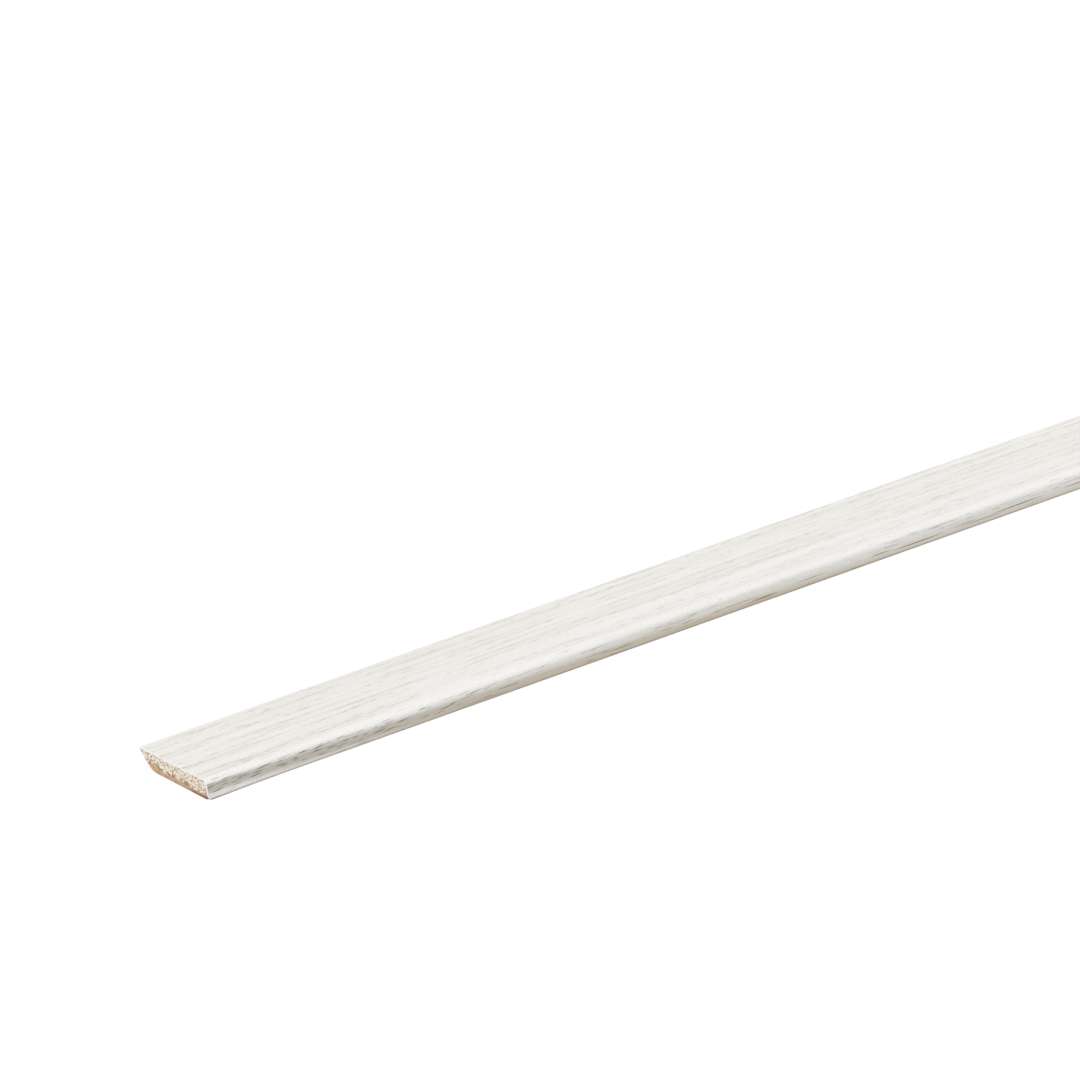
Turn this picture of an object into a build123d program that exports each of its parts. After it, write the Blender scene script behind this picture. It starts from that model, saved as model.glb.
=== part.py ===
from build123d import *
import os
from math import cos, radians, tan

# Slim skirting strip, lying on its back: a raw core and the decor film wrapped round its face.
# X runs along the strip, Y across it and Z up from the back. The origin is at the middle of the back.

# Driving dimensions, in millimetres and degrees
LENGTH = 2400.0  # stock length, sawn square at both ends
WIDTH = 27.0  # across the strip, from the sharp edge to the film's lower edge
THICKNESS = 5.0  # from the back to the film's outer face
FILM_THICKNESS = 0.35
FILM_STOP_HEIGHT = 0.3  # the film is trimmed this far above the back, where raw core shows
SHARP_EDGE_LAND = 0.55  # blunt height of raw core left under the film at the sharp edge
BEVEL_ANGLE = 39.5  # of the undercut, measured from the back
HEEL_RADIUS = 6.0  # where the undercut runs into the back
SHOULDER_RADIUS = 2.0  # outside of the film, where the face turns down into the side
SIDE_LEAN = 9.0  # of the side from upright, so that its foot stands proud of the shoulder

# The sharp edge is at +Y, and the rounded shoulder and its side are at -Y.
SHARP_EDGE_Y = WIDTH / 2
SIDE_Y = -WIDTH / 2


def round_corner(face, place, radius, turn):
    """Round the outline's corner at place, by no more than the shortest straight beside it allows."""
    corner = face.vertices().sort_by_distance(Vector(*place))[0]
    beside = [edge for edge in face.edges() if corner in edge.vertices()]
    most = 0.95 * min(edge.length for edge in beside) / tan(turn / 2)
    return fillet(corner, min(radius, most))


def outline(inset):
    """Section of the strip with the faces that the film covers moved inwards by inset."""
    lean = radians(SIDE_LEAN)
    bevel = radians(BEVEL_ANGLE)
    face_height = THICKNESS - inset
    bevel_height = THICKNESS - FILM_THICKNESS - SHARP_EDGE_LAND
    heel = (SHARP_EDGE_Y - bevel_height / tan(bevel), 0)
    foot = (SIDE_Y - FILM_STOP_HEIGHT * tan(lean) + inset / cos(lean), 0)
    shoulder = (foot[0] + face_height * tan(lean), face_height)
    corners = [(SHARP_EDGE_Y, face_height), (SHARP_EDGE_Y, bevel_height), heel, foot, shoulder]
    section = make_face(Polyline(*corners, close=True))
    section = round_corner(section, heel, HEEL_RADIUS, bevel)
    return round_corner(section, shoulder, SHOULDER_RADIUS - inset, radians(90) - lean)


def run_along(section):
    """Solid of one section over the whole stock length, centred on the origin."""
    return extrude(Plane.YZ * section, LENGTH / 2, both=True)


def core_section():
    return outline(FILM_THICKNESS)


def film_section():
    """Band of even thickness over the face, shoulder and side, trimmed short of the back."""
    trimmed_away = Pos(0, FILM_STOP_HEIGHT / 2) * Rectangle(2 * WIDTH, FILM_STOP_HEIGHT)
    return outline(0) - core_section() - trimmed_away


os.makedirs("parts", exist_ok=True)
for name, section in (("core_strip", core_section()), ("decor_film", film_section())):
    solid = run_along(section)
    solid.label = name
    export_step(solid, f"parts/{name}.step")
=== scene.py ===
from math import cos, pi, radians, sin, tan

import bpy
import numpy as np
from mathutils import Matrix, Vector, noise
from mathutils.geometry import delaunay_2d_cdt


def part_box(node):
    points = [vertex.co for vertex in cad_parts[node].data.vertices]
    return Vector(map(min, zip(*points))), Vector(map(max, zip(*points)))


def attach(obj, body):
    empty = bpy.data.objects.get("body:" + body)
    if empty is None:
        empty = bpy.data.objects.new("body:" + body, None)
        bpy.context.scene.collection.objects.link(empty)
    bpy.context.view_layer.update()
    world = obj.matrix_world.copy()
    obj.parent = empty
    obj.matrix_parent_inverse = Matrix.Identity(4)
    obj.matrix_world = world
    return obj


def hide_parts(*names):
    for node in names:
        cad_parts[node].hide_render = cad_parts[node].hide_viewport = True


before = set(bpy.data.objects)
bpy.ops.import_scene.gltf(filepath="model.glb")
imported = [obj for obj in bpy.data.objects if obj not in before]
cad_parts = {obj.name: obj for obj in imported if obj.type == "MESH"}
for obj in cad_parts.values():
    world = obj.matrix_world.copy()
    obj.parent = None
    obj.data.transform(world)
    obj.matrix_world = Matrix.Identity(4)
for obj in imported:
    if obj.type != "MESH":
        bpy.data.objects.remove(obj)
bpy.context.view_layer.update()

# Sizes of the strip, in metres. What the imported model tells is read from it.
MM = 0.001
_, core_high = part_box("core_strip")
film_low, film_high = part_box("decor_film")
LEFT_END, RIGHT_END = film_low.x, film_high.x
LENGTH = RIGHT_END - LEFT_END
SHARP_EDGE_Y, SIDE_Y = film_high.y, film_low.y
FACE_Z = film_high.z
FILM = film_high.z - core_high.z
FILM_STOP = film_low.z
SHARP_EDGE_LAND = 0.55 * MM
BEVEL = radians(39.5)
HEEL_RADIUS = 6 * MM
SHOULDER_RADIUS = 2 * MM
LEAN = radians(9)

# The foot of the photographed end stands out a little, and the lower corner of the side is worn at both ends.
FLARE = 0.6 * MM
FLARE_REACH = 12 * MM
FLARE_TOP = 2.2 * MM
WORN_CORNER = 0.9 * MM
WORN_FROM_SIDE = 1.2 * MM
WORN_FADE = 0.6 * MM

# The film's cut edge. Each chip size has its waves per millimetre, depth in millimetres and noise layer.
FILM_EDGE_BEVEL = 0.08 * MM
CHIP_SIZES = ((0.9, 0.05, 0.0), (3.3, 0.06, 5.0))
CHIP_STEP = 3.1  # in the noise, from one end to the next

# The sawn ends of the core
SAWN_GRAIN = 0.11 * MM
SAWN_MARGIN = 0.05 * MM
SAWN_JITTER = 0.3  # of a grain
PIT_GAP = np.array([0.95, 0.8]) * MM
PIT_SIZE = np.array([0.58, 0.70]) * MM
PIT_DEPTH = 0.24 * MM
PIT_JITTER = 0.42  # of the gap
PIT_SPREAD = (0.6, 1.1)  # of the size
PIT_STRENGTH = (0.5, 1.0)  # of the depth
PIT_STEEPNESS = 1.6
DENSE_BACK = 1.0 * MM
DENSE_FADE = 0.6 * MM
DENSE_SHARE = 0.2  # of a pit's strength, in the dense back
ROUGH_DEPTH = 0.03 * MM
ROUGH_WAVES = 7.5  # per millimetre
ROUGH_STEP = 7.0  # in the noise, from one end to the next
RIM = 0.35 * MM
RIM_SHARE = 0.2  # of the roughness, at the very rim

# Fineness of the meshes
FACE_STEPS, SHOULDER_STEPS, SIDE_STEPS = 98, 12, 14
HEEL_STEPS, BACK_STEPS, BEVEL_STEPS, LAND_STEPS, FOOT_STEPS = 10, 60, 14, 3, 2
NEAR_END = [0.0, 1.0, 1.15, 1.3, 1.6, 2.0, 2.6, 3.4, 4.6, 6.5, 9.0]
STATION_GAP = 12 * MM
SHARP_ANGLE = radians(32)

# The colour map for copies of the model folds the strip into rows and keeps the ends above them.
FOLDS = 8
FOLD_LENGTH = LENGTH / FOLDS
MAP_FOLDED_SHARE = 0.9
MAP_MARGIN = 0.002
FILM_MAP_ROWS = ((0.0, 0.88), (0.90, 0.93), (0.945, 0.96), (0.975, 0.99))
CORE_MAP_ROW = (0.01, 0.98)
CORE_HIDDEN_SHARE = 0.1
FILM_END_ROW = MAP_FOLDED_SHARE + 0.02
FILM_END_STEP = 0.03  # from one end's row to the next
FILM_END_HEIGHT = 0.01
FILM_END_MARGIN = 0.01
CORE_END_SIZE = 0.45
CORE_END_CORNER = np.array([0.02, MAP_FOLDED_SHARE + 0.005])
CORE_END_STEP = np.array([0.5, 0.0])  # from one end's corner to the next

# Rows of printed pores, in millimetres from the sharp edge, and the width that the print is laid out on
GRAIN_ROWS = (2.6, 4.4, 8.2, 9.7, 12.3, 15.1, 16.7, 22.6, 23.6, 27.2, 28.4, 29.5)
GRAIN_SPAN = 32.0
CLOSE_ROWS = 1.8

# Camera, from the photograph's own lines. Pixels are in its 1080 x 1080 frame.
FRAME_SIDE = 1080
SENSOR = 36.0
LENS = 480.1
CAMERA_AZIMUTH = radians(-40.183)
CAMERA_ELEVATION = radians(24.413)
CAMERA_DISTANCE = 3.582
END_PIXEL = (174.1, 782.5)

# Floor
FLOOR_REACH = 30.0
FLOOR_DROP = 0.02 * MM
FLOOR_LIFT = 0.02  # of glow beyond white, so that the open floor shows no grey


def srgb(red, green, blue):
    """A colour written as it shows on a screen, from 0 to 255, in the linear numbers that shaders take."""
    shown = np.array([red, green, blue]) / 255
    linear = np.where(shown <= 0.04045, shown / 12.92, ((shown + 0.055) / 1.055) ** 2.4)
    return (*linear.tolist(), 1.0)


# Colours of the film
FILM_WHITE, FILM_BAND = srgb(243, 243, 242), srgb(235, 234, 230)
# A painted shade for the middle of the face, and the tint round the rows of pores.
FILM_PAINTED_SHADE, FILM_HALO = srgb(224, 220, 209), srgb(226, 222, 213)
FILM_FIBRE, FILM_SPECKLE = srgb(222, 218, 208), srgb(221, 218, 211)
# One printed ink in two tones: paler on the face as painted light, darker on the side as painted shade.
LIT_FACE_INK, SHADED_SIDE_INK = srgb(174, 140, 101), srgb(104, 84, 62)
# A painted shade for the band under the shoulder, and the print's dark strokes on the side.
SIDE_PAINTED_SHADE, SIDE_STROKE = srgb(149, 141, 123), srgb(94, 66, 40)
# Painted shade, darker and warmer towards the foot; dark lines of the print low on the side; a tan line along
# the film's lower edge.
FOOT_PAINTED_SHADE, FOOT_LINE, LOWER_EDGE_TAN = srgb(196, 183, 158), srgb(104, 78, 50), srgb(166, 142, 108)
CUT_FILM, CUT_FILM_NICK = srgb(238, 241, 244), srgb(225, 227, 230)

# Colours of the core
CHIP_PALE, CHIP_DARK, SHARD = srgb(240, 236, 224), srgb(226, 216, 196), srgb(242, 238, 226)
# The pits' colour is partly the brown of torn fibres and partly painted shade.
SPECK, PIT_BROWN_AND_SHADE, CLOT = srgb(190, 146, 102), srgb(140, 88, 42), srgb(160, 110, 68)
# The tan pits' colour is partly torn fibres and partly painted shade.
TAN_PALE, TAN_DARK, TAN_PIT_BROWN_AND_SHADE = srgb(214, 187, 160), srgb(190, 156, 126), srgb(156, 110, 74)
# A darker reddish brown low on the ends, and the bare foot of the side.
LOW_CORNER_BROWN, BARE_FOOT = srgb(128, 78, 46), srgb(130, 94, 60)


# Section of the strip

def spaced(start, end, steps):
    """Points from start to end in even steps, without the last one."""
    share = np.arange(steps)[:, None] / steps
    return np.array(start) * (1 - share) + np.array(end) * share


def arc(centre, radius, start, end, steps):
    """Points on an arc from one angle to another, without the last one."""
    angle = start + (end - start) * np.arange(steps) / steps
    return np.array(centre) + radius * np.stack([np.cos(angle), np.sin(angle)], 1)


def foot(inset):
    """Where the side, moved in by inset, would meet the back."""
    return (SIDE_Y - FILM_STOP * tan(LEAN) + inset / cos(LEAN), 0.0)


def side_point(inset, height):
    """Where the side, moved in by inset, has this height."""
    return (foot(inset)[0] + height * tan(LEAN), height)


def covered_path(inset):
    """Outline under the film, or on its outside, from the sharp edge to the film's lower edge."""
    radius = SHOULDER_RADIUS - inset
    centre_z = FACE_Z - SHOULDER_RADIUS
    centre = (foot(inset)[0] + (radius + centre_z * sin(LEAN)) / cos(LEAN), centre_z)
    face_end = (centre[0], FACE_Z - inset)
    side_start = (centre[0] - radius * cos(LEAN), centre_z + radius * sin(LEAN))
    return np.concatenate([
        spaced((SHARP_EDGE_Y, FACE_Z - inset), face_end, FACE_STEPS),
        arc(centre, radius, pi / 2, pi - LEAN, SHOULDER_STEPS),
        spaced(side_start, side_point(inset, FILM_STOP), SIDE_STEPS),
        [side_point(inset, FILM_STOP)],
    ])


def bare_path():
    """Outline of the core that the film leaves bare, from the film's lower edge round to the sharp edge."""
    bevel_height = FACE_Z - FILM - SHARP_EDGE_LAND
    heel_y = SHARP_EDGE_Y - bevel_height / tan(BEVEL)
    tangent = HEEL_RADIUS * tan(BEVEL / 2)
    heel_start = (heel_y - tangent, 0.0)
    heel_end = (heel_y + tangent * cos(BEVEL), tangent * sin(BEVEL))
    bevel_end = (SHARP_EDGE_Y, bevel_height)
    return np.concatenate([
        spaced(side_point(FILM, FILM_STOP), foot(FILM), FOOT_STEPS)[1:],
        spaced(foot(FILM), heel_start, BACK_STEPS),
        arc((heel_start[0], HEEL_RADIUS), HEEL_RADIUS, -pi / 2, BEVEL - pi / 2, HEEL_STEPS),
        spaced(heel_end, bevel_end, BEVEL_STEPS),
        spaced(bevel_end, (SHARP_EDGE_Y, FACE_Z - FILM), LAND_STEPS),
    ])


def stations():
    """Places along the strip: close together at both ends, where the saw has left its marks."""
    near = np.array(NEAR_END) * MM
    between = np.arange(1, round(LENGTH / STATION_GAP)) * STATION_GAP
    return LEFT_END + np.concatenate([near, between, LENGTH - near[::-1]])


def swept(path):
    """The path at every station, as places by station and point of the path."""
    along = stations()
    places = np.empty((len(along), len(path), 3))
    places[:, :, 0] = along[:, None]
    places[:, :, 1:] = path
    return places


def lengths_along(path):
    """Distance of each point from the path's start, along the path."""
    steps = np.linalg.norm(np.diff(path, axis=0), axis=1)
    return np.concatenate([[0.0], np.cumsum(steps)])


# Marks that the saw and the trimming knife have left

def flared(places):
    """Press the foot of the photographed end outwards."""
    from_end = (places[..., 0] - LEFT_END) / FLARE_REACH
    low = np.clip(1 - places[..., 2] / FLARE_TOP, 0, 1)
    on_side = np.clip((SIDE_Y / 2 - places[..., 1]) / (-SIDE_Y / 2), 0, 1)
    out = places.copy()
    out[..., 1] -= FLARE * np.exp(-from_end**2) * low**2 * on_side
    return out


def worn(places):
    """How far the saw has worn the lower corner of the side back, at (y, z) places of an end."""
    height = np.clip(places[:, 1] / WORN_CORNER, 0, 1)
    on_side = np.clip((SIDE_Y + WORN_FROM_SIDE - places[:, 0]) / WORN_FADE, 0, 1)
    return WORN_CORNER * (1 - np.sqrt(1 - (1 - height) ** 2)) * on_side


def film_chips(path, end, bevel):
    """How far the film's edge is set back at each (y, z) place of its cut."""
    depth = np.zeros(len(path))
    for waves, size, layer in CHIP_SIZES:
        spots = [Vector((place * waves, CHIP_STEP * end, layer)) for place in lengths_along(path) / MM]
        depth += size * np.array([noise.noise(spot) for spot in spots])
    return np.clip(depth, 0, None) * MM + bevel + worn(path)


def pits(places, end):
    """How deep (y, z) places of an end lie in the pits that the saw tears between chips, from 0 to 1."""
    draw = np.random.default_rng(end)
    across = np.arange(SIDE_Y, SHARP_EDGE_Y, PIT_GAP[0])
    up = np.arange(0, FACE_Z, PIT_GAP[1])
    centres = np.stack(np.meshgrid(across, up), -1)
    centres[1::2, :, 0] += PIT_GAP[0] / 2
    centres = centres.reshape(-1, 2)
    centres += draw.uniform(-PIT_JITTER, PIT_JITTER, centres.shape) * PIT_GAP
    radii = draw.uniform(*PIT_SPREAD, (len(centres), 1)) * PIT_SIZE / 2
    strength = draw.uniform(*PIT_STRENGTH, len(centres))
    apart = np.linalg.norm((places[:, None] - centres) / radii, axis=2)
    hollow = (np.clip(PIT_STEEPNESS * (1 - apart**2), 0, 1) * strength).max(1)
    loose = np.clip((places[:, 1] - DENSE_BACK) / DENSE_FADE, 0, 1)
    return hollow * (DENSE_SHARE + (1 - DENSE_SHARE) * loose)


def roughened(places, end):
    """How far the saw has left (y, z) places of an end rough, apart from its pits."""
    spots = [Vector((y * ROUGH_WAVES, z * ROUGH_WAVES, ROUGH_STEP * end)) for y, z in places / MM]
    return ROUGH_DEPTH * (1 + np.array([noise.noise(spot) for spot in spots]))


# Meshes

def grid_faces(numbers):
    """Quads between neighbouring rows and columns of vertex numbers."""
    corners = (numbers[:-1, :-1], numbers[:-1, 1:], numbers[1:, 1:], numbers[1:, :-1])
    return np.stack(corners, -1).reshape(-1, 4)


def make_object(name, vertices, faces, materials, face_materials, maps):
    """A mesh object from vertices, faces, the material number of each face and its maps, corner by corner."""
    mesh = bpy.data.meshes.new(name)
    mesh.from_pydata(vertices.tolist(), [], [list(face) for face in faces])
    for material in materials:
        mesh.materials.append(material)
    mesh.polygons.foreach_set("material_index", np.array(face_materials, np.int32))
    for map_name, corners in maps.items():
        layer = mesh.uv_layers.new(name=map_name)
        layer.uv.foreach_set("vector", np.asarray(corners, np.float32).ravel())
    mesh.shade_smooth()
    mesh.set_sharp_from_angle(angle=SHARP_ANGLE)
    piece = bpy.data.objects.new(name, mesh)
    bpy.context.scene.collection.objects.link(piece)
    return piece


def folded(corner_x, low, high, share):
    """Colour map places of quads along the strip: row by row, each between low and high of its row."""
    middle = corner_x.mean(1, keepdims=True) - LEFT_END
    fold = np.clip(np.floor(middle / FOLD_LENGTH), 0, FOLDS - 1)
    across = MAP_MARGIN + (1 - 2 * MAP_MARGIN) * ((corner_x - LEFT_END) / FOLD_LENGTH - fold)
    up = (fold + low + (high - low) * share) / FOLDS * MAP_FOLDED_SHARE
    return np.stack([across, up], -1)


# Decor film

def film_places():
    """Places of the film's outside and inside, by layer, station and point of the section."""
    layers = []
    for inset, bevel in ((0.0, FILM_EDGE_BEVEL), (FILM, 0.0)):
        path = covered_path(inset)
        places = swept(path)
        places[0, :, 0] += film_chips(path, 1, bevel)
        places[-1, :, 0] -= film_chips(path, 2, bevel)
        layers.append(places)
    return flared(np.stack(layers))


def film_strips(out, back):
    """Faces of the film by vertex number: outside, inside, its two long cut edges and its two ends."""
    return [
        grid_faces(out),
        grid_faces(back)[:, ::-1],
        grid_faces(np.stack([out[:, 0], back[:, 0]], 1))[:, ::-1],
        grid_faces(np.stack([out[:, -1], back[:, -1]], 1)),
        grid_faces(np.stack([out[0], back[0]], 0))[:, ::-1],
        grid_faces(np.stack([out[-1], back[-1]], 0)),
    ]


def film_bake_map(strips, x, drawn, layer):
    """Colour map of the film: long strips folded into rows, with the two ends above them."""
    shares = (drawn, drawn, layer, layer)
    parts = [folded(x[strip], *row, share[strip]) for strip, row, share in zip(strips, FILM_MAP_ROWS, shares)]
    for number, strip in enumerate(strips[len(FILM_MAP_ROWS):]):
        across = FILM_END_MARGIN + (1 - 2 * FILM_END_MARGIN) * drawn[strip]
        up = FILM_END_ROW + FILM_END_STEP * number + FILM_END_HEIGHT * layer[strip]
        parts.append(np.stack([across, up], -1))
    return np.concatenate(parts)


def make_film(materials):
    """The decor film: a skin of even thickness with its print outside and its white cut edges."""
    places = film_places()
    out, back = np.arange(places[..., 0].size).reshape(places.shape[:3])
    strips = film_strips(out, back)
    faces = np.concatenate(strips)
    sheet = lengths_along(covered_path(0.0))
    x = places[..., 0].ravel()
    drawn = np.broadcast_to(sheet, places.shape[:3]).ravel()
    layer = np.repeat([0.0, 1.0], out.size)
    maps = {
        "Print": np.stack([x[faces], drawn[faces]], -1),
        "OFBake": film_bake_map(strips, x, drawn / sheet[-1], layer),
    }
    on_edge = np.repeat([0, 0, 1, 1, 1, 1], [len(strip) for strip in strips])
    return make_object("decor_film_wrap", places.reshape(-1, 3), faces, materials, on_edge, maps)


# Core

def ring_depth(ring, points):
    """How far the points lie inside a ring that runs anticlockwise and bulges everywhere."""
    ends = np.roll(ring, -1, axis=0)
    way = ends - ring
    normal = np.stack([-way[:, 1], way[:, 0]], 1) / np.linalg.norm(way, axis=1)[:, None]
    return ((points[:, None] - ring[None]) * normal[None]).sum(-1).min(1)


def sawn_points(ring, seed):
    """Points spread over the sawn end, a grain apart and a little out of line."""
    low, high = ring.min(0), ring.max(0)
    across = np.arange(low[0], high[0], SAWN_GRAIN)
    up = np.arange(low[1], high[1], SAWN_GRAIN)
    grid = np.stack(np.meshgrid(across, up), -1).reshape(-1, 2)
    grid += np.random.default_rng(seed).uniform(-SAWN_JITTER, SAWN_JITTER, grid.shape) * SAWN_GRAIN
    return grid[ring_depth(ring, grid) > SAWN_MARGIN]


def sawn_places(ring, end):
    """The (y, z) places of a sawn end, ring first, how far each is torn and how deep it lies in a pit."""
    flat = np.concatenate([ring, sawn_points(ring, end)])
    hollow = pits(flat, end)
    inside = np.clip(ring_depth(ring, flat) / RIM, 0, 1)
    rough = (roughened(flat, end) + PIT_DEPTH * hollow) * (RIM_SHARE + (1 - RIM_SHARE) * inside)
    return flat, rough + worn(flat), hollow


def sawn_faces(flat, ring_count, way):
    """Triangles that fill the ring through all places of an end and face +X (way 1) or -X (way -1)."""
    sides = [(k, (k + 1) % ring_count) for k in range(ring_count)]
    places = [Vector(place) for place in flat]
    _, _, found, sources, _, _ = delaunay_2d_cdt(places, sides, [], 1, 1e-9)
    triangles = np.array([[sources[k][0] for k in face] for face in found])
    a, b, c = (flat[triangles[:, k]] for k in range(3))
    area = (b[:, 0] - a[:, 0]) * (c[:, 1] - a[:, 1]) - (b[:, 1] - a[:, 1]) * (c[:, 0] - a[:, 0])
    return np.where((area * way > 0)[:, None], triangles, triangles[:, ::-1])


def core_side_map(vertices, quads, ring):
    """Colour map of the long faces. What the film hides gets a narrow share."""
    hidden = len(covered_path(FILM))
    steps = np.linalg.norm(np.roll(ring, -1, axis=0) - ring, axis=1)
    steps[:hidden - 1] *= CORE_HIDDEN_SHARE
    drawn = np.concatenate([[0.0], np.cumsum(steps)])
    column = quads % len(ring)
    closing = column[:, :2].min(1) + 1 < column[:, :2].max(1)
    wrapped = closing[:, None] & (column == 0)
    share = np.where(wrapped, drawn[-1], drawn[column]) / drawn[-1]
    return folded(vertices[quads, 0], *CORE_MAP_ROW, share)


def core_end_map(vertices, triangles, number):
    """Colour map of a sawn end, larger than life beside the long faces."""
    low, high = vertices[:, 1:].min(0), vertices[:, 1:].max(0)
    flat = (vertices[triangles, 1:] - low) / (high[0] - low[0])
    return flat * CORE_END_SIZE + CORE_END_CORNER + CORE_END_STEP * number


def make_core(materials):
    """The raw core: swept along the strip, with both ends torn by the saw."""
    ring = np.concatenate([covered_path(FILM), bare_path()])
    count = len(ring)
    sweep = swept(ring)
    numbers = np.arange(sweep[..., 0].size).reshape(sweep.shape[:2])
    hollows = np.zeros(numbers.shape)
    inner_places, inner_hollows, caps = [], [], []
    total = numbers.size
    for end, row, inwards in ((1, 0, 1), (2, -1, -1)):
        flat, torn, hollow = sawn_places(ring, end)
        sawn = np.column_stack([sweep[row, 0, 0] + inwards * torn, flat])
        sweep[row], hollows[row] = sawn[:count], hollow[:count]
        inner_places.append(sawn[count:])
        inner_hollows.append(hollow[count:])
        lookup = np.concatenate([numbers[row], total + np.arange(len(flat) - count)])
        caps.append(lookup[sawn_faces(flat, count, -inwards)])
        total += len(flat) - count
    vertices = flared(np.concatenate([sweep.reshape(-1, 3), *inner_places]))
    quads = grid_faces(np.concatenate([numbers, numbers[:, :1]], 1))
    faces = [*quads, *caps[0], *caps[1]]
    map_parts = [core_side_map(vertices, quads, ring)]
    map_parts += [core_end_map(vertices, triangles, number) for number, triangles in enumerate(caps)]
    corners = np.concatenate([part.reshape(-1, 2) for part in map_parts])
    core = make_object("raw_core", vertices, faces, materials, [0] * len(faces), {"OFBake": corners})
    pit = core.data.attributes.new("pit", "FLOAT", "POINT")
    pit.data.foreach_set("value", np.concatenate([hollows.ravel(), *inner_hollows]).astype(np.float32))
    return core


# Materials

class Wiring:
    """Adds shader nodes to one material and joins them."""

    # Sockets of the mix node that carry colours. They share their names with those for numbers.
    FIRST_COLOUR, SECOND_COLOUR, MIXED_COLOUR = 6, 7, 2

    def __init__(self, name):
        self.material = bpy.data.materials.new(name)
        self.material.use_nodes = True
        self.tree = self.material.node_tree
        self.shader = self.tree.nodes["Principled BSDF"]

    def feed(self, socket, value):
        if isinstance(value, bpy.types.NodeSocket):
            self.tree.links.new(value, socket)
        else:
            socket.default_value = value

    def surface(self, inputs):
        """Set inputs of the surface shader and hand over the material."""
        for name, value in inputs.items():
            self.feed(self.shader.inputs[name], value)
        return self.material

    def add(self, kind, inputs=(), **settings):
        node = self.tree.nodes.new(kind)
        for name, value in settings.items():
            setattr(node, name, value)
        for name, value in dict(inputs).items():
            self.feed(node.inputs[name], value)
        return node

    def math(self, operation, *values):
        node = self.add("ShaderNodeMath", operation=operation)
        for socket, value in zip(node.inputs, values):
            self.feed(socket, value)
        return node.outputs[0]

    def product(self, first, *others):
        for other in others:
            first = self.math("MULTIPLY", first, other)
        return first

    def vector(self, x, y, z=0.0):
        return self.add("ShaderNodeCombineXYZ", {"X": x, "Y": y, "Z": z}).outputs[0]

    def split(self, vector):
        node = self.add("ShaderNodeSeparateXYZ", {"Vector": vector})
        return [node.outputs[axis] for axis in "XYZ"]

    def noise(self, vector, detail=2.0, roughness=0.5):
        inputs = {"Vector": vector, "Scale": 1.0, "Detail": detail, "Roughness": roughness}
        return self.add("ShaderNodeTexNoise", inputs).outputs["Fac"]

    def chance(self, vector):
        """Three even random numbers for each place of a lattice."""
        node = self.add("ShaderNodeTexWhiteNoise", {"Vector": vector}, noise_dimensions="3D")
        return self.split(node.outputs["Color"])

    def ramp(self, value, start, end, low=0.0, high=1.0):
        """Value carried smoothly from start..end to low..high."""
        inputs = {"Value": value, "From Min": start, "From Max": end, "To Min": low, "To Max": high}
        node = self.add("ShaderNodeMapRange", inputs, interpolation_type="SMOOTHSTEP")
        return node.outputs["Result"]

    def shifted(self, noise_value, reach, value):
        """Value moved to either side by a noise, whose whole range spans reach."""
        return self.math("MULTIPLY_ADD", self.math("SUBTRACT", noise_value, 0.5), reach, value)

    def mix(self, share, first, second):
        node = self.add("ShaderNodeMix", {"Factor": share}, data_type="RGBA")
        self.feed(node.inputs[self.FIRST_COLOUR], first)
        self.feed(node.inputs[self.SECOND_COLOUR], second)
        return node.outputs[self.MIXED_COLOUR]

    def bump(self, height, distance):
        inputs = {"Height": height, "Distance": distance, "Strength": 1.0}
        return self.add("ShaderNodeBump", inputs).outputs["Normal"]


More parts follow.
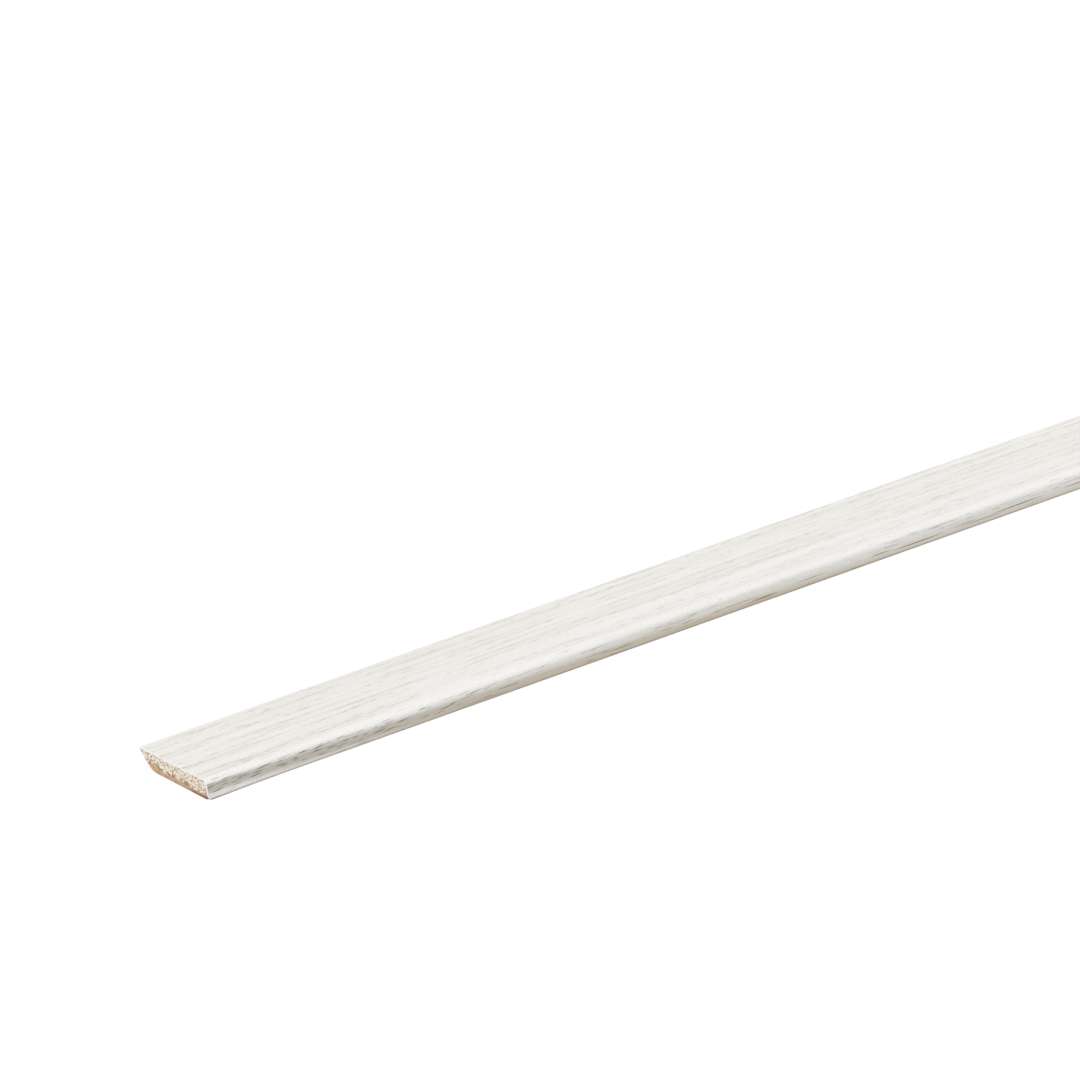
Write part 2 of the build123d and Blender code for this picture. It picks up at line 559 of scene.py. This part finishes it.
class FilmWiring(Wiring):
    """Wiring with places on the film, in millimetres.

    Along runs from the left end. Level runs from the sharp edge over the face and shoulder to the foot.
    Across is the level as the grain sees it, which sways as it runs. The others are shares from 0 to 1:
    on the side, near the left end, and far off it.
    """

    def __init__(self, name):
        super().__init__(name)
        sheet = self.add("ShaderNodeUVMap", uv_map="Print").outputs["UV"]
        u, v, _ = self.split(sheet)
        self.along = self.math("MULTIPLY_ADD", u, 1 / MM, -LEFT_END / MM)
        self.level = self.math("MULTIPLY", v, 1 / MM)
        self.across = self.swayed()
        self.on_side = self.ramp(self.level, 26.1, 27.0)
        self.near_end = self.ramp(self.along, 100.0, 20.0)
        self.far_off = self.math("MULTIPLY_ADD", self.near_end, -0.9, 1.0)

    def stretched(self, value, length, width, offset=0.0):
        """A place for noise whose lumps are to have this length and width."""
        return self.vector(self.math("DIVIDE", self.along, length), self.math("DIVIDE", value, width), offset)

    def swayed(self):
        """Level with the long sway and the small wobbles of the grain."""
        sway = self.math("SINE", self.math("DIVIDE", self.along, 140.0))
        drift = self.noise(self.stretched(self.level, 60.0, 9.0), 1.0)
        wobble = self.noise(self.stretched(self.level, 6.0, 1.1, 4.0), 1.0)
        across = self.math("MULTIPLY_ADD", sway, 1.6, self.level)
        return self.shifted(wobble, 0.14, self.shifted(drift, 1.3, across))

    def streaks(self, length, width, offset, detail):
        """Noise drawn out along the grain."""
        return self.noise(self.stretched(self.across, length, width, offset), detail, 0.55)

    def dashes(self, across, crowd, pitch, cell, share, half_width, seed):
        """Short strokes in rows, as printed pores lie: 1 on a stroke, 0 beside it. Sizes in millimetres."""
        row_place = self.math("ADD", self.math("DIVIDE", across, pitch), seed)
        row = self.math("FLOOR", row_place)
        in_row = self.math("SUBTRACT", self.math("FRACT", row_place), 0.5)
        row_shift, _, _ = self.chance(self.vector(row, seed, 1.7))
        cell_place = self.math("MULTIPLY_ADD", row_shift, 97.0, self.math("DIVIDE", self.along, cell))
        stroke = self.math("FLOOR", cell_place)
        in_cell = self.math("SUBTRACT", self.math("FRACT", cell_place), 0.5)
        picked, sidestep, size = self.chance(self.vector(stroke, row, seed))
        place, tone, _ = self.chance(self.vector(stroke, row, seed + 31.0))
        reach = self.math("MULTIPLY_ADD", size, 0.32, 0.14)
        room = self.math("MULTIPLY_ADD", reach, -2.0, 1.0)
        middle = self.product(self.math("SUBTRACT", place, 0.5), room)
        off_along = self.math("DIVIDE", self.math("SUBTRACT", in_cell, middle), reach)
        drift = self.product(self.math("SUBTRACT", sidestep, 0.5), 0.5)
        off_across = self.product(self.math("SUBTRACT", in_row, drift), pitch / half_width)
        apart = self.math("ADD", self.math("POWER", off_along, 2.0), self.math("POWER", off_across, 2.0))
        chosen = self.math("LESS_THAN", picked, self.product(crowd, share))
        strength = self.math("MULTIPLY_ADD", tone, 0.55, 0.45)
        return self.product(self.ramp(apart, 1.0, 0.1), chosen, strength)

    def row_density(self):
        """1 where a row of pores runs and near 0 half way between two rows."""
        stops = [(0.0, 0.2)]
        for row, after in zip(GRAIN_ROWS, (*GRAIN_ROWS[1:], GRAIN_SPAN)):
            stops.append((row, 1.0))
            stops.append(((row + after) / 2, 0.0 if after - row > CLOSE_ROWS else 0.35))
        node = self.add("ShaderNodeValToRGB", {"Fac": self.math("DIVIDE", self.across, GRAIN_SPAN)})
        node.color_ramp.interpolation = "EASE"
        points = node.color_ramp.elements
        points.remove(points[1])
        for place, value in stops:
            points.new(place / GRAIN_SPAN).color = (value, value, value, 1)
        points.remove(points[0])
        return node.outputs["Color"]


def printed_pores(w, rows, lively):
    """Pores, ticks and long lines of the grain, thickest along lively stretches of its rows."""
    chained = w.math("POWER", rows, 3.0)
    crowd = w.math("MULTIPLY_ADD", w.product(chained, lively), 0.95, 0.05)
    pores = w.dashes(w.across, crowd, pitch=0.66, cell=6.8, share=0.85, half_width=0.12, seed=3.0)
    ticks = w.dashes(w.across, crowd, pitch=0.45, cell=3.2, share=0.45, half_width=0.11, seed=12.0)
    lines = w.dashes(w.across, crowd, pitch=0.7, cell=24.0, share=0.75, half_width=0.11, seed=23.0)
    faint = w.math("MAXIMUM", w.product(ticks, 0.6), w.product(lines, 0.85))
    broken = w.ramp(w.streaks(0.9, 0.3, 8.0, 1.0), 0.30, 0.60, 0.45, 1.0)
    return w.product(w.math("MAXIMUM", pores, faint), broken)


def face_colour(w, rows, lively, print_left_by_highlight, fibres):
    """Ground of the print: white with soft bands, a tint round the rows of pores, fibres and a speckle.

    Far from the left end, painted shade darkens the middle of the face and painted light thins the tint from
    there towards the shoulder. The print is thinned on the shoulder itself for a painted highlight.
    """
    bands = w.ramp(w.streaks(120.0, 3.4, 14.0, 3.0), 0.36, 0.66)
    # Painted shade over the middle of the face far from the left end, and painted light, a thinner tint, from
    # there towards the shoulder.
    painted_broad_shade = w.product(w.ramp(w.level, 18.5, 14.0), w.ramp(w.level, 1.0, 4.0), w.far_off, 0.16)
    painted_light_zone = w.product(w.ramp(w.level, 16.0, 19.0, 0.0, 0.5), w.far_off)
    fading = w.ramp(w.along, 60.0, 160.0, 0.85, 0.65)
    halo = w.product(rows, lively, fading, w.math("SUBTRACT", 1.0, painted_light_zone))
    speckle = w.ramp(w.streaks(0.8, 0.45, 21.0, 2.0), 0.4, 0.6)
    colour = w.mix(w.product(bands, print_left_by_highlight), FILM_WHITE, FILM_BAND)
    colour = w.mix(painted_broad_shade, colour, FILM_PAINTED_SHADE)
    colour = w.mix(halo, colour, FILM_HALO)
    colour = w.mix(w.product(fibres, 0.22), colour, FILM_FIBRE)
    return w.mix(w.product(speckle, 0.34), colour, FILM_SPECKLE)


def side_colour(w, colour):
    """Colour with painted shade on the side, a darker band under the shoulder and a darker, warmer foot, and
    a tan line along the film's lower edge.
    """
    # A painted shade: a darker band that runs under the shoulder near the left end and slants down off the
    # side further along.
    shade_band_middle = w.math("MULTIPLY_ADD", w.along, 0.0155, 27.8)
    off_shade_band = w.math("ABSOLUTE", w.math("SUBTRACT", w.level, shade_band_middle))
    painted_shade_band = w.product(w.ramp(off_shade_band, 1.9, 0.5), w.on_side, w.ramp(w.along, 130.0, 50.0, 0.28, 0.5))
    # Painted shade: the side grows darker and warmer towards the foot, away from the left end.
    painted_foot_shade = w.product(w.ramp(w.level, 27.2, 30.2, 0.0, 0.7), w.far_off)
    painted_foot_shade = w.product(painted_foot_shade, w.ramp(w.along, 180.0, 240.0, 1.0, 0.7))
    colour = w.mix(painted_shade_band, colour, SIDE_PAINTED_SHADE)
    colour = w.mix(painted_foot_shade, colour, FOOT_PAINTED_SHADE)
    # A tan line along the film's lower edge.
    return w.mix(w.ramp(w.level, 29.9, 30.35, 0.0, 0.45), colour, LOWER_EDGE_TAN)


def side_strokes(w):
    """Dark strokes that slant over the side, most of them near the left end."""
    slanted = w.math("MULTIPLY_ADD", w.along, 0.07, w.level)
    crowd = w.ramp(w.along, 160.0, 30.0, 0.45, 1.0)
    strokes = w.dashes(slanted, crowd, pitch=0.7, cell=7.0, share=0.85, half_width=0.16, seed=41.0)
    fading = w.ramp(w.along, 130.0, 60.0, 0.15, 0.9)
    return w.product(strokes, fading, w.on_side, w.ramp(w.level, 29.6, 28.9, 0.3, 1.0))


def foot_lines(w):
    """Long dark lines low on the side, away from the left end."""
    crowd = w.ramp(w.along, 60.0, 130.0)
    lines = w.dashes(w.level, crowd, pitch=0.5, cell=24.0, share=0.8, half_width=0.17, seed=57.0)
    return w.product(lines, w.ramp(w.level, 28.5, 28.8), w.ramp(w.level, 29.8, 29.5))


def print_material():
    """White decor film with a wood-grain print: pores in rows, soft bands, fibres and a satin emboss, with
    painted light and shade laid over it.
    """
    w = FilmWiring("white_grain_film")
    # The print is thinned over the shoulder so that it shows whiter there: a painted highlight.
    shoulder_highlight = w.product(w.ramp(w.level, 23.7, 24.5), w.ramp(w.level, 26.7, 26.2))
    print_left_by_highlight = w.math("MULTIPLY_ADD", shoulder_highlight, -0.6, 1.0)
    rows = w.product(w.row_density(), print_left_by_highlight)
    lively = w.ramp(w.streaks(24.0, 1.8, 2.0, 2.0), 0.36, 0.62, 0.08, 1.0)
    fibres = w.ramp(w.streaks(16.0, 0.32, 17.0, 2.0), 0.3, 0.7)
    pores, strokes, lines = printed_pores(w, rows, lively), side_strokes(w), foot_lines(w)
    ink = w.product(pores, w.math("MULTIPLY_ADD", w.near_end, 0.25, 0.75))
    colour = side_colour(w, face_colour(w, rows, lively, print_left_by_highlight, fibres))
    # The pores take the paler tone of the ink on the face and the darker on the side: painted light and
    # painted shade.
    colour = w.mix(ink, colour, w.mix(w.on_side, LIT_FACE_INK, SHADED_SIDE_INK))
    colour = w.mix(strokes, colour, SIDE_STROKE)
    colour = w.mix(w.product(lines, 0.85), colour, FOOT_LINE)
    marks = w.math("MAXIMUM", pores, w.math("MAXIMUM", strokes, lines))
    relief = w.math("SUBTRACT", w.product(fibres, 0.12), marks)
    return w.surface({
        "Base Color": colour,
        "Roughness": w.math("MULTIPLY_ADD", marks, 0.25, 0.42),
        "Specular IOR Level": 0.3,
        "Normal": w.bump(relief, 0.03 * MM),
    })


def film_edge_material():
    """The film's own white body, bared where it is cut."""
    w = Wiring("film_cut_edge")
    place = w.add("ShaderNodeTexCoord").outputs["Object"]
    scaled = w.add("ShaderNodeVectorMath", {"Vector": place, "Scale": 2.2 / MM}, operation="SCALE")
    nicks = w.noise(scaled.outputs[0], 2.0)
    colour = w.mix(w.ramp(nicks, 0.35, 0.7), CUT_FILM, CUT_FILM_NICK)
    return w.surface({"Base Color": colour, "Roughness": 0.55, "Normal": w.bump(nicks, 0.03 * MM)})


class CoreWiring(Wiring):
    """Wiring with places in the core, in millimetres, its chips and the height above its dense back."""

    def __init__(self, name):
        super().__init__(name)
        place = self.add("ShaderNodeTexCoord").outputs["Object"]
        self.x, self.y, self.z = (self.math("MULTIPLY", axis, 1 / MM) for axis in self.split(place))
        self.specks = self.cloud(1.6, 0.7, 0.8, 20.0, 1.0)
        self.fibres = self.cloud(4.0, 1.8, 0.4, 80.0, 2.0)
        self.pit = self.add("ShaderNodeAttribute", attribute_name="pit").outputs["Fac"]
        self.above = self.above_seam()

    def cloud(self, length, width, height, offset, detail):
        """Noise stretched to this length, width and height."""
        spot = self.vector(
            self.math("MULTIPLY_ADD", self.x, 1 / length, offset),
            self.math("DIVIDE", self.y, width),
            self.math("DIVIDE", self.z, height),
        )
        return self.noise(spot, detail, 0.55)

    def above_seam(self):
        """Height above the ragged seam between the pale chips and the dense tan back."""
        y = self.y
        seam = self.math("ADD", self.ramp(y, 3.0, 8.5, 1.3, 1.95), self.ramp(y, -10.5, -12.3, 0.0, 0.8))
        seam = self.math("SUBTRACT", seam, self.ramp(y, -5.0, -8.0, 0.0, 0.35))
        teeth = self.cloud(2.0, 1.3, 4.0, 120.0, 2.0)
        return self.shifted(teeth, 1.7, self.math("SUBTRACT", self.z, seam))


def pale_chips(w):
    """Pale chips with brown specks and pits, and upright shards over the seam. The pits are painted browner
    the deeper they lie: partly the brown of torn fibres, partly painted shade.
    """
    grain = w.cloud(3.0, 0.5, 0.45, 0.0, 2.0)
    shards = w.cloud(2.0, 0.8, 1.5, 40.0, 1.0)
    upright = w.product(w.ramp(w.above, 0.0, 0.3), w.ramp(w.above, 1.9, 0.7))
    colour = w.mix(w.ramp(grain, 0.3, 0.7), CHIP_PALE, CHIP_DARK)
    colour = w.mix(w.ramp(w.specks, 0.58, 0.68, 0.0, 0.7), colour, SPECK)
    colour = w.mix(w.pit, colour, PIT_BROWN_AND_SHADE)
    return w.mix(w.product(upright, w.ramp(shards, 0.52, 0.64, 0.0, 0.8)), colour, SHARD)


def tan_back(w):
    """The dense tan layer along the back, its pits painted browner the deeper they lie: partly torn fibres,
    partly painted shade.
    """
    colour = w.mix(w.ramp(w.fibres, 0.35, 0.65), TAN_PALE, TAN_DARK)
    return w.mix(w.product(w.pit, 0.8), colour, TAN_PIT_BROWN_AND_SHADE)


def stained(w, colour):
    """Colour with the brown clots at the seam, a darker reddish brown low on both ends towards the side, and
    the bare foot of the side.
    """
    clots = w.cloud(2.0, 1.1, 1.0, 160.0, 1.0)
    at_seam = w.product(w.ramp(w.above, -0.3, 0.0), w.ramp(w.above, 1.2, 0.4))
    low = w.ramp(w.shifted(w.fibres, 1.6, w.z), 1.05, 0.35)
    towards_side = w.ramp(w.y, -5.0, -8.5, 0.3, 1.0)
    end = LENGTH / 2 / MM
    at_end = w.ramp(w.math("ABSOLUTE", w.x), end - 10.0, end - 2.0)
    at_foot = w.ramp(w.y, -12.9, -13.1)
    colour = w.mix(w.product(at_seam, w.ramp(clots, 0.44, 0.58, 0.0, 0.85)), colour, CLOT)
    # Darker reddish brown low on both ends, strongest towards the side.
    colour = w.mix(w.product(low, towards_side, at_end, 0.85), colour, LOW_CORNER_BROWN)
    return w.mix(w.product(at_foot, 0.85), colour, BARE_FOOT)


def core_material():
    """Raw particleboard: pale chips with brown bark and glue specks, denser and tan along the back."""
    w = CoreWiring("raw_particleboard")
    board = w.mix(w.ramp(w.above, 0.1, -0.1), pale_chips(w), tan_back(w))
    relief = w.math("SUBTRACT", 1.0, w.specks)
    return w.surface({
        "Base Color": stained(w, board),
        "Roughness": 0.85,
        "Specular IOR Level": 0.25,
        "Normal": w.bump(relief, 0.05 * MM),
    })


# Stage: floor, background, light and camera

def seen_directly(tree):
    """1 for rays of the camera and for mirror and glass rays, 0 for the light that falls on things."""
    path = tree.nodes.new("ShaderNodeLightPath")
    total = path.outputs["Is Camera Ray"]
    for name in ("Is Glossy Ray", "Is Transmission Ray"):
        either = tree.nodes.new("ShaderNodeMath")
        either.operation = "MAXIMUM"
        tree.links.new(total, either.inputs[0])
        tree.links.new(path.outputs[name], either.inputs[1])
        total = either.outputs[0]
    return total


def make_world(light):
    """White where it is seen, and a dim even light on the strip."""
    world = bpy.data.worlds.new("studio")
    bpy.context.scene.world = world
    world.use_nodes = True
    tree = world.node_tree
    strength = tree.nodes.new("ShaderNodeMapRange")
    strength.inputs["To Min"].default_value = light
    strength.inputs["To Max"].default_value = 1.0
    tree.links.new(seen_directly(tree), strength.inputs["Value"])
    tree.links.new(strength.outputs["Result"], tree.nodes["Background"].inputs["Strength"])
    tree.nodes["Background"].inputs["Color"].default_value = (1, 1, 1, 1)


def make_floor(bounce, shadow):
    """A pale floor that throws the share bounce of its light back and shows white, with a faint shadow."""
    mesh = bpy.data.meshes.new("floor")
    corners = ((-1, -1), (1, -1), (1, 1), (-1, 1))
    places = [(FLOOR_REACH * x, FLOOR_REACH * y, -FLOOR_DROP) for x, y in corners]
    mesh.from_pydata(places, [], [(0, 1, 2, 3)])
    floor = bpy.data.objects.new("floor", mesh)
    bpy.context.scene.collection.objects.link(floor)
    w = Wiring("white_floor")
    seen = seen_directly(w.tree)
    mesh.materials.append(w.surface({
        "Base Color": w.math("MULTIPLY_ADD", seen, shadow - bounce, bounce),
        "Roughness": 1.0,
        "Specular IOR Level": 0.0,
        "Emission Color": (1, 1, 1, 1),
        "Emission Strength": w.product(seen, 1 - shadow + FLOOR_LIFT),
    }))


def make_sun(name, towards, strength, spread):
    """Soft light that falls evenly along the whole strip, from the side that towards points at."""
    data = bpy.data.lights.new(name, "SUN")
    data.energy = strength * pi
    data.angle = radians(spread)
    sun = bpy.data.objects.new(name, data)
    sun.rotation_mode = "QUATERNION"
    sun.rotation_quaternion = Vector(towards).to_track_quat("Z", "Y")
    bpy.context.scene.collection.objects.link(sun)


def make_camera():
    """A long lens that looks along the photograph's line of sight."""
    a, e = CAMERA_AZIMUTH, CAMERA_ELEVATION
    back = Vector((sin(a) * cos(e), -cos(a) * cos(e), sin(e)))
    right = Vector((0, 0, 1)).cross(back).normalized()
    up = back.cross(right)
    metres_per_pixel = CAMERA_DISTANCE * SENSOR / LENS / FRAME_SIDE
    aside = (FRAME_SIDE / 2 - END_PIXEL[0]) * metres_per_pixel
    above = (END_PIXEL[1] - FRAME_SIDE / 2) * metres_per_pixel
    aim = Vector((LEFT_END, 0, 0)) + aside * right + above * up
    data = bpy.data.cameras.new("camera")
    data.lens, data.sensor_width, data.clip_end = LENS, SENSOR, 100.0
    camera = bpy.data.objects.new("camera", data)
    turn = Matrix((right, up, back)).transposed()
    camera.matrix_world = Matrix.Translation(aim + CAMERA_DISTANCE * back) @ turn.to_4x4()
    bpy.context.scene.collection.objects.link(camera)
    bpy.context.scene.camera = camera


film = make_film([print_material(), film_edge_material()])
core = make_core([core_material()])
for piece, node, slot in ((film, "decor_film", "decor_film"), (core, "core_strip", "raw_board")):
    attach(piece, "root")
    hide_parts(node)

make_world(light=0.58)
make_floor(bounce=0.5, shadow=0.2)
make_sun("key", (-0.66, -0.30, 0.689), 0.65, 20)
make_camera()
bpy.context.scene.view_settings.view_transform = "Standard"
